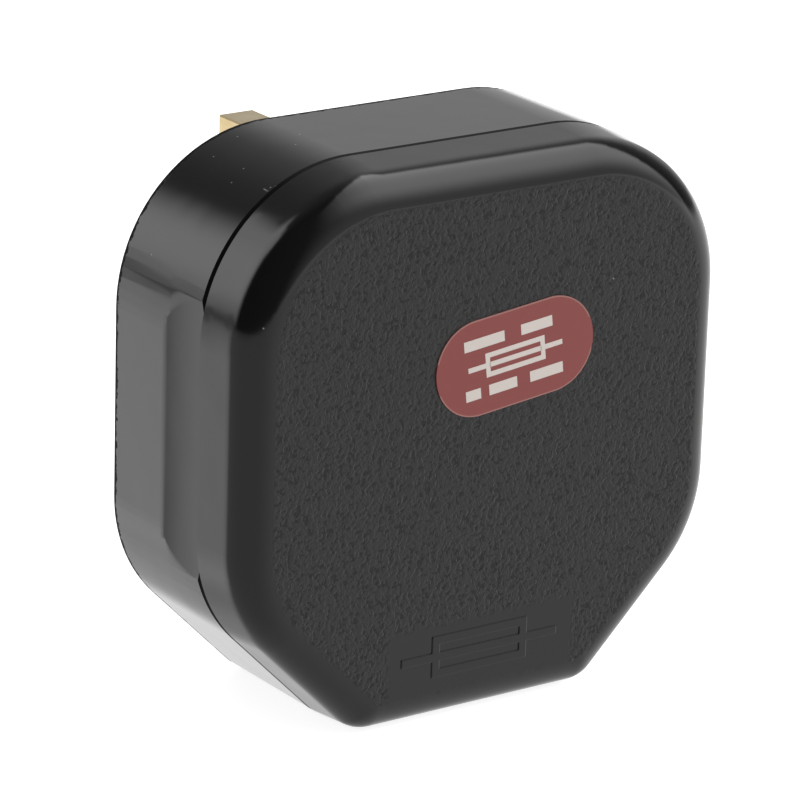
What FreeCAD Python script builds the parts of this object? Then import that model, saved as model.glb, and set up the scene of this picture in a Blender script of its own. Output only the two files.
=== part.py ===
import FreeCAD
import Part
import Sketcher
import math
import os
import re

# Three-pin fused plug, rewirable pattern, in millimetres.
# X runs to the right seen from the front, Y from the front face towards the pins, Z up.
# The origin is on the pin face, on the centre line, level with the line and neutral pins.
# A depth is measured from the pin face towards the front, so it runs along minus Y.

SIZES = [
    ("body_width", 55.0, "overall width of the housing"),
    ("body_height", 55.0, "overall height of the housing"),
    ("foot_drop", 22.5, "foot edge below the line and neutral pins"),
    ("corner_run", 14.2, "lower corner cut, measured along the foot"),
    ("corner_rise", 14.2, "lower corner cut, measured up the side"),
    ("top_radius", 16.0, "radius of the two top corners"),
    ("side_radius", 15.0, "radius between a side and the corner cut"),
    ("foot_radius", 4.0, "radius between the corner cut and the foot"),
    ("base_depth", 14.2, "depth of the base, pin face to joint"),
    ("base_wall", 2.6, "side wall of the base"),
    ("floor_thickness", 3.0, "floor of the base behind the pin face"),
    ("rim_bevel", 0.3, "bevel of the base's rim at the joint"),
    ("grip_start", 8.5, "depth at which the finger scoop begins"),
    ("grip_depth", 0.6, "depth of the finger scoop at the joint"),
    ("grip_radius", 65.0, "hollow radius of the finger scoop"),
    ("cover_depth", 7.8, "depth of the cover, joint to front face"),
    ("cover_draft", 4.5, "draft of the cover's side, degrees"),
    ("cover_edge", 3.4, "rounding of the cover's front edge"),
    ("cover_front", 2.5, "front wall of the cover"),
    ("joint_gap", 0.35, "height of the shadow gap at the joint"),
    ("joint_inset", 0.7, "depth of the shadow gap at the joint"),
    ("tongue_wall", 1.0, "thickness of the cover's locating tongue"),
    ("tongue_depth", 1.6, "reach of the tongue into the base"),
    ("fit_gap", 0.1, "clearance of pieces that drop into place"),
    ("pin_spacing", 22.23, "line to neutral, and earth above their line"),
    ("earth_width", 4.0, "earth pin, across"),
    ("earth_height", 8.0, "earth pin, up"),
    ("earth_length", 22.73, "earth pin, out of the pin face"),
    ("power_width", 6.35, "line and neutral pin, across"),
    ("power_height", 4.0, "line and neutral pin, up"),
    ("power_length", 17.7, "line and neutral pin, out of the pin face"),
    ("pin_edge", 0.15, "bevel along the pins"),
    ("pin_tip", 0.4, "bevel at the tip of the pins"),
    ("sleeve_length", 9.3, "insulating sleeve out of the pin face"),
    ("sleeve_tail", 1.5, "insulating sleeve inside the base"),
    ("sleeve_wall", 0.45, "insulating sleeve thickness"),
    ("earth_head_width", 7.0, "earth terminal block, across"),
    ("head_width", 9.0, "pin head inside the base, across"),
    ("head_height", 8.6, "pin head inside the base, up"),
    ("pillar_depth", 8.0, "terminal block, floor to its face"),
    ("clip_seat", 4.6, "brass under a fuse clip, floor to its face"),
    ("pillar_offset", 7.6, "line terminal's pillar, right of the fuse"),
    ("wire_hole", 2.2, "radius of the conductor hole"),
    ("cradle_wall", 1.2, "wall round each pin head on the floor"),
    ("cradle_height", 2.0, "height of that wall"),
    ("screw_radius", 1.75, "terminal screw shank radius"),
    ("screw_head", 2.6, "terminal screw head radius"),
    ("screw_head_depth", 2.0, "terminal screw head height"),
    ("screw_reach", 3.4, "terminal screw length under its head"),
    ("slot_width", 0.8, "driver slot in every screw"),
    ("slot_depth", 0.9, "driver slot depth"),
    ("thread_gap", 0.05, "clearance between a screw and its thread"),
    ("fuse_radius", 3.175, "cartridge fuse, over its caps"),
    ("fuse_length", 25.4, "cartridge fuse, end to end"),
    ("fuse_drop", 4.0, "lower end of the fuse below the line pin"),
    ("cap_length", 5.6, "fuse cap length"),
    ("cap_wall", 0.3, "fuse cap side wall"),
    ("cap_end", 0.5, "fuse cap end wall"),
    ("tube_bore", 2.0, "radius of the bore of the fuse tube"),
    ("element_radius", 0.25, "radius of the fuse element"),
    ("clip_wall", 0.6, "spring strip thickness of the clips"),
    ("clip_width", 4.4, "clip, along the fuse"),
    ("clip_gap", 0.05, "clearance between clip and cap"),
    ("clip_mouth", 4.6, "opening of the clip towards the front"),
    ("clip_foot", 5.0, "flat foot of the clip, across"),
    ("rivet_radius", 1.1, "clip rivet radius"),
    ("rivet_reach", 2.5, "clip rivet length in the brass"),
    ("entry_radius", 4.6, "cord entry radius"),
    ("entry_depth", 7.8, "depth of the cord entry's axis"),
    ("entry_bevel", 0.8, "bevel of the cord entry's mouth"),
    ("grip_height", 8.0, "cord grip above the foot edge"),
    ("grip_spacing", 18.6, "cord grip screws, centre to centre"),
    ("post_radius", 3.0, "cord grip post radius"),
    ("post_depth", 12.0, "cord grip posts, depth of their top"),
    ("strap_width", 6.4, "cord grip strap, up"),
    ("strap_depth", 2.0, "cord grip strap thickness"),
    ("ridge_width", 1.2, "ridge under the strap, across"),
    ("ridge_length", 9.0, "ridge under the strap, along"),
    ("ridge_depth", 0.8, "ridge under the strap, height"),
    ("ridge_pitch", 3.2, "spacing of the two ridges"),
    ("grip_screw", 1.4, "cord grip screw shank radius"),
    ("grip_screw_reach", 5.0, "cord grip screw length in the post"),
    ("cover_screw_height", 8.5, "cover screw above the line and neutral pins"),
    ("cover_screw_radius", 2.0, "cover screw shank radius"),
    ("cover_screw_head", 3.8, "cover screw head radius"),
    ("cover_screw_head_depth", 2.2, "cover screw head height"),
    ("cover_screw_end", 17.4, "depth of the tip of the cover screw"),
    ("recess_depth", 2.4, "depth of the recess for that screw head"),
    ("recess_gap", 0.3, "clearance round that screw head"),
    ("shank_gap", 0.2, "clearance round that screw's shank"),
    ("pillar_radius", 4.6, "screw pillar of the base, radius"),
    ("pillar_top", 11.4, "screw pillar of the base, depth of its top"),
    ("washer_radius", 4.0, "captive washer, radius"),
    ("washer_depth", 0.8, "captive washer, thickness"),
    ("boss_radius", 5.0, "insert boss of the cover, radius"),
    ("insert_radius", 3.0, "threaded insert, radius"),
    ("insert_length", 6.0, "threaded insert, length"),
    ("rib_wall", 1.2, "hold-down ribs of the cover, thickness"),
    ("rib_width", 5.0, "hold-down ribs of the cover, across"),
    ("label_length", 18.0, "rating label, along"),
    ("label_height", 9.4, "rating label, across"),
    ("label_thickness", 0.12, "rating label, thickness"),
    ("label_x", 2.5, "rating label, right of the centre line"),
    ("label_z", 13.1, "rating label, above the line and neutral pins"),
    ("label_tilt", 6.6, "rating label, turned to the left, degrees"),
]

doc = FreeCAD.newDocument("ThreePinPlug")
sheet = doc.addObject("Spreadsheet::Sheet", "Sizes")
for row, (alias, size, meaning) in enumerate(SIZES, start=1):
    sheet.set(f"A{row}", meaning)
    sheet.set(f"B{row}", str(size))
    sheet.setAlias(f"B{row}", alias)
doc.recompute()

ALIASES = {alias for alias, size, meaning in SIZES}

# Places that several pieces share, as formulas of the driving sizes.
NEUTRAL_X = "-pin_spacing / 2"
LINE_X = "pin_spacing / 2"
PILLAR_X = f"({LINE_X} + pillar_offset)"
TERMINAL_Z = "(fuse_length - fuse_drop - cap_length / 2)"
LOWER_CLIP_Z = "(cap_length / 2 - fuse_drop)"
PILLAR_FACE = "(floor_thickness + pillar_depth)"
CLIP_FACE = "(floor_thickness + clip_seat)"
FUSE_DEPTH = f"({CLIP_FACE} + clip_wall + clip_gap + fuse_radius)"
TUBE_RADIUS = "(fuse_radius - cap_wall)"
GRIP_Z = "(grip_height - foot_drop)"
WASHER_FACE = "(pillar_top + washer_depth)"
COVER_BACK = "(base_depth + cover_depth - cover_front)"
COVER_FACE = "(base_depth + cover_depth)"
TONGUE_OUTER = "(base_wall + fit_gap)"
TONGUE_INNER = f"({TONGUE_OUTER} + tongue_wall)"
LINE_TERMINAL_WIDTH = "(head_width + pillar_offset)"
LINE_TERMINAL_X = f"({LINE_X} + pillar_offset / 2)"


def linked(formula):
    """The formula with each driving size pointing at its cell."""
    return re.sub(r"[a-z_]+", lambda word: "Sizes." + word[0] if word[0] in ALIASES else word[0], formula)


def number(formula):
    """The formula's present value, to draw a sketch near its solution."""
    result = sheet.evalExpression(linked(formula))
    return float(getattr(result, "Value", result))


def new_body(label):
    body = doc.addObject("PartDesign::Body", label)
    body.Label = label
    return body


def new_sketch(body, plane, at):
    """A sketch on one of the body's own origin planes, moved by the three formulas of at."""
    sketch = body.newObject("Sketcher::SketchObject", body.Name + "_sketch")
    support = next(part for part in body.Origin.OriginFeatures if part.Role == plane)
    sketch.AttachmentSupport = [(support, "")]
    sketch.MapMode = "FlatFace"
    for axis, formula in zip("xyz", at):
        sketch.setExpression(f".AttachmentOffset.Base.{axis}", linked(formula))
    return sketch


def facing(body, x, z, depth):
    """A sketch seen from the front; its normal points to the front."""
    return new_sketch(body, "XZ_Plane", (x, z, depth))


def level(body, x, depth, z):
    """A sketch seen from above; its normal points up."""
    return new_sketch(body, "XY_Plane", (x, f"-{depth}", z))


def bind(sketch, constraint, formula):
    index = sketch.addConstraint(constraint)
    sketch.setExpression(f"Constraints[{index}]", linked(formula))


def hold(sketch, kind, *places):
    sketch.addConstraint(Sketcher.Constraint(kind, *places))


# A sketch numbers the points of an element from 1 up, and its own two axes from -1 down.
START, END, CENTRE = range(1, 4)
ACROSS, UPRIGHT = range(-1, -3, -1)
ORIGIN = (ACROSS, START)


def point(x, y):
    return FreeCAD.Vector(x, y, 0)


def rectangle(sketch, width, height):
    """A rectangle centred on the sketch's origin."""
    x = number(width) / 2
    y = number(height) / 2
    corners = [point(-x, -y), point(x, -y), point(x, y), point(-x, y)]
    first = sketch.GeometryCount
    for side in range(4):
        sketch.addGeometry(Part.LineSegment(corners[side], corners[(side + 1) % 4]))
    for side in range(4):
        hold(sketch, "Coincident", first + side, END, first + (side + 1) % 4, START)
        hold(sketch, "Horizontal" if side % 2 == 0 else "Vertical", first + side)
    hold(sketch, "Symmetric", first, START, first + 2, START, *ORIGIN)
    bind(sketch, Sketcher.Constraint("DistanceX", first, START, first, END, 2 * x), width)
    bind(sketch, Sketcher.Constraint("DistanceY", first + 1, START, first + 1, END, 2 * y), height)
    return sketch


def circle(sketch, radius):
    """A circle centred on the sketch's origin."""
    drawn = sketch.addGeometry(Part.Circle(point(0, 0), FreeCAD.Vector(0, 0, 1), number(radius)))
    hold(sketch, "Coincident", drawn, CENTRE, *ORIGIN)
    bind(sketch, Sketcher.Constraint("Radius", drawn, number(radius)), radius)
    return sketch


def circle_pair(sketch, radius, spacing):
    """Two equal circles, left and right of the sketch's origin."""
    x = number(spacing) / 2
    left, right = [
        sketch.addGeometry(Part.Circle(point(side * x, 0), FreeCAD.Vector(0, 0, 1), number(radius)))
        for side in (-1, 1)
    ]
    hold(sketch, "Equal", left, right)
    hold(sketch, "PointOnObject", left, CENTRE, ACROSS)
    hold(sketch, "Symmetric", left, CENTRE, right, CENTRE, *ORIGIN)
    bind(sketch, Sketcher.Constraint("Radius", left, number(radius)), radius)
    bind(sketch, Sketcher.Constraint("DistanceX", left, CENTRE, right, CENTRE, 2 * x), spacing)
    return sketch


def stadium(sketch, length, height):
    """A bar with half-round ends, centred on the sketch's origin."""
    radius = number(height) / 2
    reach = number(length) / 2 - radius
    up = FreeCAD.Vector(0, 0, 1)
    quarter = math.pi / 2
    right = sketch.addGeometry(
        Part.ArcOfCircle(Part.Circle(point(reach, 0), up, radius), -quarter, quarter)
    )
    top = sketch.addGeometry(Part.LineSegment(point(reach, radius), point(-reach, radius)))
    left = sketch.addGeometry(
        Part.ArcOfCircle(Part.Circle(point(-reach, 0), up, radius), quarter, 3 * quarter)
    )
    bottom = sketch.addGeometry(Part.LineSegment(point(-reach, -radius), point(reach, -radius)))
    loop = [right, top, left, bottom]
    for here, after in zip(loop, loop[1:] + loop[:1]):
        hold(sketch, "Tangent", here, END, after, START)
    hold(sketch, "Equal", right, left)
    hold(sketch, "PointOnObject", right, CENTRE, ACROSS)
    hold(sketch, "Symmetric", left, CENTRE, right, CENTRE, *ORIGIN)
    bind(sketch, Sketcher.Constraint("Radius", right, radius), f"{height} / 2")
    bind(
        sketch,
        Sketcher.Constraint("DistanceX", left, CENTRE, right, CENTRE, 2 * reach),
        f"{length} - {height}",
    )
    return sketch


def plug_outline(sketch, inset):
    """The six-sided outline with its rounded corners, drawn the given distance inside the housing."""
    half = number("body_width / 2")
    foot = -number("foot_drop")
    head = number("body_height - foot_drop")
    run = number("corner_run")
    rise = number("corner_rise")
    radii = ["foot_radius", "side_radius", "top_radius", "top_radius", "side_radius", "foot_radius"]
    corners = [
        point(half - run, foot),
        point(half, foot + rise),
        point(half, head),
        point(-half, head),
        point(-half, foot + rise),
        point(run - half, foot),
    ]
    normals = []
    for before, after in zip(corners[-1:] + corners[:-1], corners):
        along = (after - before).normalize()
        normals.append(point(along.y, -along.x))
    centres = []
    for corner, radius, before, after in zip(corners, radii, normals, normals[1:] + normals[:1]):
        centres.append(corner - (before + after) * (number(radius) / (1 + before.dot(after))))
    arcs = []
    lines = []
    for side in range(6):
        turn = [normals[side], normals[(side + 1) % 6]]
        angles = [math.atan2(normal.y, normal.x) for normal in turn]
        round_edge = Part.Circle(
            centres[side], FreeCAD.Vector(0, 0, 1), number(f"{radii[side]} - ({inset})")
        )
        arcs.append(sketch.addGeometry(Part.ArcOfCircle(round_edge, *angles)))
    for side in range(6):
        reach = [number(f"{radii[side - 1]} - ({inset})"), number(f"{radii[side]} - ({inset})")]
        ends = [
            centres[side - 1] + normals[side] * reach[0],
            centres[side] + normals[side] * reach[1],
        ]
        lines.append(sketch.addGeometry(Part.LineSegment(*ends)))
    for side in range(6):
        hold(sketch, "Tangent", lines[side], END, arcs[side], START)
        hold(sketch, "Tangent", arcs[side], END, lines[(side + 1) % 6], START)
    for right, left in zip((0, 1, 2), (5, 4, 3)):
        radius = f"{radii[right]} - ({inset})"
        bind(sketch, Sketcher.Constraint("Radius", arcs[right], number(radius)), radius)
        hold(sketch, "Equal", arcs[right], arcs[left])
    bottom, right_cut, right_side, top, left_side, left_cut = lines
    for line in (bottom, top):
        hold(sketch, "Horizontal", line)
    for line in (right_side, left_side):
        hold(sketch, "Vertical", line)
    spans = [
        ("DistanceX", ORIGIN, (right_side, START), f"body_width / 2 - ({inset})"),
        ("DistanceX", (left_side, START), ORIGIN, f"body_width / 2 - ({inset})"),
        ("DistanceY", ORIGIN, (top, START), f"body_height - foot_drop - ({inset})"),
        ("DistanceY", (bottom, START), ORIGIN, f"foot_drop - ({inset})"),
    ]
    for kind, here, there, formula in spans:
        bind(sketch, Sketcher.Constraint(kind, *here, *there, number(formula)), formula)
    slope = "sqrt(corner_run ^ 2 + corner_rise ^ 2)"
    reach = "((body_width / 2 - corner_run) * corner_rise + foot_drop * corner_run)"
    stand_off = f"{reach} / {slope} - ({inset})"
    bind(sketch, Sketcher.Constraint("Distance", *ORIGIN, right_cut, number(stand_off)), stand_off)
    turn = "atan(corner_rise / corner_run)"
    bind(sketch, Sketcher.Constraint("Angle", right_cut, math.radians(number(turn))), turn)
    hold(sketch, "Symmetric", right_cut, START, left_cut, END, UPRIGHT)
    return sketch


def added(feature, sketch, length, reverse):
    feature.Profile = sketch
    feature.setExpression("Length", linked(length))
    feature.Reversed = reverse
    doc.recompute()
    return feature


def volume_of(body):
    return 0.0 if body.Shape.isNull() else body.Shape.Volume


def pad(body, sketch, length, reverse=False):
    """Material from the sketch along its normal, or against it where reversed."""
    before = volume_of(body)
    feature = added(body.newObject("PartDesign::Pad", body.Name + "_pad"), sketch, length, reverse)
    if volume_of(body) <= before:
        raise RuntimeError(f"{feature.Name} adds nothing")
    return feature


def pocket(body, sketch, length, along=False):
    """A cut from the sketch against its normal, or along it."""
    before = volume_of(body)
    feature = added(body.newObject("PartDesign::Pocket", body.Name + "_pocket"), sketch, length, along)
    if volume_of(body) >= before:
        raise RuntimeError(f"{feature.Name} removes nothing")
    return feature


def edges_where(body, test):
    """Names of the edges of the body's present shape that pass the test."""
    return [f"Edge{index}" for index, edge in enumerate(body.Shape.Edges, start=1) if test(edge)]


def dress(body, kind, size, test, prop):
    """A fillet or chamfer on the edges that pass the test."""
    names = edges_where(body, test)
    if not names:
        raise RuntimeError(f"no edge for {kind} on {body.Label}")
    last = body.Tip
    feature = body.newObject("PartDesign::" + kind, f"{body.Name}_{kind.lower()}")
    feature.Base = (last, names)
    feature.setExpression(prop, linked(size))
    doc.recompute()
    return feature


def same(here, there):
    """True where two lengths agree closer than any clearance."""
    return math.isclose(here, there, abs_tol=1e-4)


def at_depth(edge, depth):
    """True where the whole edge lies at one depth."""
    box = edge.BoundBox
    return same(box.YMin, -depth) and same(box.YMax, -depth)


def base_half():
    """The moulded half that carries the pins: a tray with scoops, pillar, posts, cradles and slots."""
    body = new_body("base")
    pad(body, plug_outline(facing(body, "0", "0", "0"), "0"), "base_depth")
    rim = number("base_depth")
    dress(body, "Chamfer", "rim_bevel", lambda edge: at_depth(edge, rim), "Size")
    tray = plug_outline(facing(body, "0", "0", "base_depth"), "base_wall")
    pocket(body, tray, "base_depth - floor_thickness")
    finger_scoops(body)
    screw = ("0", "cover_screw_height")
    pad(body, circle(facing(body, *screw, "0"), "pillar_radius"), "pillar_top")
    pocket(body, circle(facing(body, *screw, "pillar_top"), "cover_screw_radius + shank_gap"), "pillar_top")
    recess = circle(facing(body, *screw, "recess_depth"), "cover_screw_head + recess_gap")
    pocket(body, recess, "recess_depth")
    pad(body, circle_pair(facing(body, "0", GRIP_Z, "0"), "post_radius", "grip_spacing"), "post_depth")
    pilot = circle_pair(facing(body, "0", GRIP_Z, "post_depth"), "grip_screw + thread_gap", "grip_spacing")
    pocket(body, pilot, "grip_screw_reach + 2 * fit_gap")
    heads = [
        ("0", "pin_spacing", "earth_head_width"),
        (NEUTRAL_X, "0", "head_width"),
        (LINE_X, "0", "head_width"),
        (LINE_TERMINAL_X, TERMINAL_Z, LINE_TERMINAL_WIDTH),
    ]
    for head in heads:
        cradle(body, *head)
    for head in heads:
        well(body, *head)
    pin_slot(body, "0", "pin_spacing", "earth_width", "earth_height")
    pin_slot(body, NEUTRAL_X, "0", "power_width", "power_height")
    pin_slot(body, LINE_X, "0", "power_width", "power_height")
    entry = circle(level(body, "0", "entry_depth", "-foot_drop"), "entry_radius")
    pocket(body, entry, "base_wall", along=True)
    foot = -number("foot_drop")
    dress(body, "Chamfer", "entry_bevel", lambda edge: round_edge_at(edge, foot, "entry_radius"), "Size")
    return body


def round_edge_at(edge, height, radius):
    """True for a circle of that radius that lies at one height."""
    box = edge.BoundBox
    flat = same(box.ZMin, height) and same(box.ZMax, height)
    return flat and isinstance(edge.Curve, Part.Circle) and same(edge.Curve.Radius, number(radius))


def finger_scoops(body):
    """A hollow along each side of the base, deepest at the joint, that runs out at the round corners."""
    sketch = level(body, "-body_width / 2", "grip_start", "0")
    drop = number("base_depth - grip_start")
    deep = number("grip_depth")
    spare = number("base_wall")
    chord = point(deep, -drop)
    rise = math.sqrt(number("grip_radius") ** 2 - (chord.Length / 2) ** 2)
    centre = chord * 0.5 + point(-drop, -deep).normalize() * rise
    start, end = [math.atan2(place.y, place.x) for place in (chord - centre, point(0, 0) - centre)]
    hollow = sketch.addGeometry(
        Part.ArcOfCircle(Part.Circle(centre, FreeCAD.Vector(0, 0, 1), number("grip_radius")), start, end)
    )
    top = sketch.addGeometry(Part.LineSegment(point(0, 0), point(-spare, 0)))
    side = sketch.addGeometry(Part.LineSegment(point(-spare, 0), point(-spare, -drop)))
    joint = sketch.addGeometry(Part.LineSegment(point(-spare, -drop), chord))
    loop = [hollow, top, side, joint]
    for here, after in zip(loop, loop[1:] + loop[:1]):
        hold(sketch, "Coincident", here, END, after, START)
    hold(sketch, "Coincident", hollow, END, *ORIGIN)
    hold(sketch, "Horizontal", top)
    hold(sketch, "Vertical", side)
    hold(sketch, "Horizontal", joint)
    bind(sketch, Sketcher.Constraint("Radius", hollow, number("grip_radius")), "grip_radius")
    bind(sketch, Sketcher.Constraint("DistanceX", *ORIGIN, hollow, START, deep), "grip_depth")
    bind(sketch, Sketcher.Constraint("DistanceX", top, END, top, START, spare), "base_wall")
    bind(sketch, Sketcher.Constraint("DistanceY", side, END, side, START, drop), "base_depth - grip_start")
    left = body.newObject("PartDesign::Pocket", "base_scoop")
    left.Profile = sketch
    left.Type = "ThroughAll"
    left.SideType = "Symmetric"
    before = volume_of(body)
    doc.recompute()
    one = before - volume_of(body)
    both = body.newObject("PartDesign::Mirrored", "base_scoops")
    both.Originals = [left]
    both.MirrorPlane = (next(part for part in body.Origin.OriginFeatures if part.Role == "YZ_Plane"), [""])
    body.Tip = both
    doc.recompute()
    if one <= 0 or before - volume_of(body) < 1.9 * one:
        raise RuntimeError("the finger scoops are not cut on both sides")


def cradle(body, x, z, width):
    """A low block on the floor that the wall round a pin head or terminal is left of."""
    block = facing(body, x, z, "floor_thickness / 2")
    rim = "2 * (fit_gap + cradle_wall)"
    rectangle(block, f"{width} + {rim}", f"head_height + {rim}")
    pad(body, block, "floor_thickness / 2 + cradle_height")


def well(body, x, z, width):
    """The room for a pin head or terminal, clear from the joint down to the floor."""
    room = facing(body, x, z, "base_depth")
    rectangle(room, f"{width} + 2 * fit_gap", "head_height + 2 * fit_gap")
    pocket(body, room, "base_depth - floor_thickness")


def pin_slot(body, x, z, width, height):
    """The slot through the floor for one pin."""
    sketch = rectangle(
        facing(body, x, z, "floor_thickness"), f"{width} + 2 * fit_gap", f"{height} + 2 * fit_gap"
    )
    pocket(body, sketch, "floor_thickness")


def cover_half():
    """The moulded front half: a drafted, round-edged lid with a tongue, an insert boss and ribs."""
    body = new_body("cover")
    rim = plug_outline(facing(body, "0", "0", "base_depth + joint_gap"), "0")
    lid = pad(body, rim, "cover_depth - joint_gap")
    lid.setExpression("TaperAngle", linked("-cover_draft"))
    doc.recompute()
    face = number(COVER_FACE)
    dress(body, "Fillet", "cover_edge", lambda edge: at_depth(edge, face), "Radius")
    pad(body, plug_outline(facing(body, "0", "0", "base_depth"), "joint_inset"), "joint_gap")
    tongue = plug_outline(facing(body, "0", "0", "base_depth - tongue_depth"), TONGUE_OUTER)
    pad(body, tongue, "tongue_depth")
    inside = plug_outline(facing(body, "0", "0", "base_depth - tongue_depth"), TONGUE_INNER)
    pocket(body, inside, "tongue_depth + cover_depth - cover_front", along=True)
    screw = ("0", "cover_screw_height")
    pad(body, circle(facing(body, *screw, WASHER_FACE), "boss_radius"), f"{COVER_BACK} - {WASHER_FACE}")
    insert = circle(facing(body, *screw, WASHER_FACE), "insert_radius")
    pocket(body, insert, "insert_length", along=True)
    hold_down(body, "0", "pin_spacing")
    hold_down(body, NEUTRAL_X, "0")
    hold_down(body, PILLAR_X, TERMINAL_Z)
    fuse_rib = f"{FUSE_DEPTH} + {TUBE_RADIUS} + 2 * fit_gap"
    middle = "fuse_length / 2 - fuse_drop"
    rib = rectangle(facing(body, LINE_X, middle, fuse_rib), "rib_width", "rib_wall")
    pad(body, rib, f"{COVER_BACK} - ({fuse_rib})")
    return body


def hold_down(body, x, z):
    """Two ribs under the cover's front wall that keep a terminal block in its cradle."""
    foot = f"{PILLAR_FACE} + fit_gap"
    for side in ("+", "-"):
        height = f"{z} {side} (head_height / 2 - rib_wall / 2 - fit_gap)"
        rib = rectangle(facing(body, x, height, foot), "rib_width", "rib_wall")
        pad(body, rib, f"{COVER_BACK} - ({foot})")


def pin_shank(body, x, z, width, height, length):
    """A straight bar from the tip to the floor, bevelled along its edges and at the tip."""
    tip = f"-{length}"
    pad(body, rectangle(facing(body, x, z, tip), width, height), f"{length} + floor_thickness")
    depth = number(tip)
    dress(body, "Chamfer", "pin_tip", lambda edge: at_depth(edge, depth), "Size")
    reach = number(f"{length} + floor_thickness - pin_tip")
    dress(body, "Chamfer", "pin_edge", lambda edge: same(edge.BoundBox.YLength, reach), "Size")


def terminal_holes(body, x, z):
    """The conductor hole, upright through the block, and the tapped hole that meets it from the front."""
    wire = level(body, x, "(floor_thickness + pillar_depth / 2)", f"{z} - head_height / 2")
    pocket(body, circle(wire, "wire_hole"), "head_height", along=True)
    tapped = circle(facing(body, x, z, PILLAR_FACE), "screw_radius + thread_gap")
    pocket(body, tapped, "pillar_depth / 2")


def earth_pin():
    body = new_body("earth_pin")
    pin_shank(body, "0", "pin_spacing", "earth_width", "earth_height", "earth_length")
    block = rectangle(facing(body, "0", "pin_spacing", "floor_thickness"), "earth_head_width", "head_height")
    pad(body, block, "pillar_depth")
    terminal_holes(body, "0", "pin_spacing")
    return body


def power_pin(label, x, head_depth):
    """A line or neutral pin with the reduced neck that carries its sleeve."""
    body = new_body(label)
    pin_shank(body, x, "0", "power_width", "power_height", "power_length")
    neck = facing(body, x, "0", "-sleeve_length")
    rectangle(neck, "power_width + 2 * sleeve_wall", "power_height + 2 * sleeve_wall")
    rectangle(neck, "power_width - 2 * sleeve_wall", "power_height - 2 * sleeve_wall")
    pocket(body, neck, "sleeve_length + sleeve_tail", along=True)
    pad(body, rectangle(facing(body, x, "0", "floor_thickness"), "head_width", "head_height"), head_depth)
    return body


def pin_sleeve(label, x):
    body = new_body(label)
    ring = facing(body, x, "0", "-sleeve_length")
    rectangle(ring, "power_width", "power_height")
    rectangle(ring, "power_width - 2 * sleeve_wall", "power_height - 2 * sleeve_wall")
    pad(body, ring, "sleeve_length + sleeve_tail")
    half = number("power_width / 2")
    length = number("sleeve_length + sleeve_tail")
    middle = number(x)

    def outer_corner(edge):
        box = edge.BoundBox
        return same(box.YLength, length) and same(abs(box.Center.x - middle), half)

    dress(body, "Chamfer", "pin_edge", outer_corner, "Size")
    return body


def rivet_hole(body, z, length):
    hole = circle(facing(body, LINE_X, z, CLIP_FACE), "rivet_radius")
    pocket(body, hole, length)


def neutral_pin():
    body = power_pin("neutral_pin", NEUTRAL_X, "pillar_depth")
    terminal_holes(body, NEUTRAL_X, "0")
    return body


def line_pin():
    body = power_pin("line_pin", LINE_X, "clip_seat")
    rivet_hole(body, LOWER_CLIP_Z, "rivet_reach")
    return body


def line_terminal():
    """The block at the top of the fuse: a low seat for the clip and a pillar for the line conductor."""
    body = new_body("line_terminal")
    seat = facing(body, LINE_TERMINAL_X, TERMINAL_Z, "floor_thickness")
    pad(body, rectangle(seat, LINE_TERMINAL_WIDTH, "head_height"), "clip_seat")
    pillar = facing(body, PILLAR_X, TERMINAL_Z, "floor_thickness")
    pad(body, rectangle(pillar, "earth_head_width", "head_height"), "pillar_depth")
    terminal_holes(body, PILLAR_X, TERMINAL_Z)
    rivet_hole(body, TERMINAL_Z, "rivet_reach")
    return body


def fuse_clip(label, z):
    """A spring strip bent round the fuse cap, open to the front, with a flat riveted foot."""
    body = new_body(label)
    low = f"{z} - clip_width / 2"
    strip = level(body, LINE_X, FUSE_DEPTH, low)
    circle(strip, "fuse_radius + clip_gap + clip_wall")
    circle(strip, "fuse_radius + clip_gap")
    pad(body, strip, "clip_width")
    mouth = level(body, LINE_X, f"({FUSE_DEPTH} + fuse_radius)", low)
    pocket(body, rectangle(mouth, "clip_mouth", "2 * fuse_radius"), "clip_width", along=True)
    foot = level(body, LINE_X, f"({CLIP_FACE} + clip_wall / 2)", low)
    pad(body, rectangle(foot, "clip_foot", "clip_wall"), "clip_width")
    hole = circle(facing(body, LINE_X, z, FUSE_DEPTH), "rivet_radius")
    pocket(body, hole, f"{FUSE_DEPTH} - {CLIP_FACE}")
    return body


def several(label, places, build):
    """One node that holds a group of like pieces, each at its own place."""
    body = new_body(label)
    body.AllowCompound = True
    for place in places:
        build(body, *place)
    return body


def rivet(body, z):
    shank = circle(facing(body, LINE_X, z, f"{CLIP_FACE} - rivet_reach"), "rivet_radius")
    pad(body, shank, "rivet_reach + clip_wall")


def slotted_screw(body, x, z, seat, head, head_depth, shank, reach):
    """A cheese-head screw whose head sits on the seat and whose shank points to the pin face."""
    pad(body, circle(facing(body, x, z, seat), head), head_depth)
    pad(body, circle(facing(body, x, z, seat), shank), reach, reverse=True)
    slot = facing(body, x, z, f"{seat} + {head_depth}")
    pocket(body, rectangle(slot, f"2 * {head}", "slot_width"), "slot_depth")


def terminal_screw(body, x, z):
    sizes = ("screw_head", "screw_head_depth", "screw_radius", "screw_reach")
    slotted_screw(body, x, z, PILLAR_FACE, *sizes)


def grip_screw(body, side):
    seat = "(post_depth + strap_depth)"
    sizes = ("screw_head", "screw_head_depth", "grip_screw", "strap_depth + grip_screw_reach")
    slotted_screw(body, f"{side} grip_spacing / 2", GRIP_Z, seat, *sizes)


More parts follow.
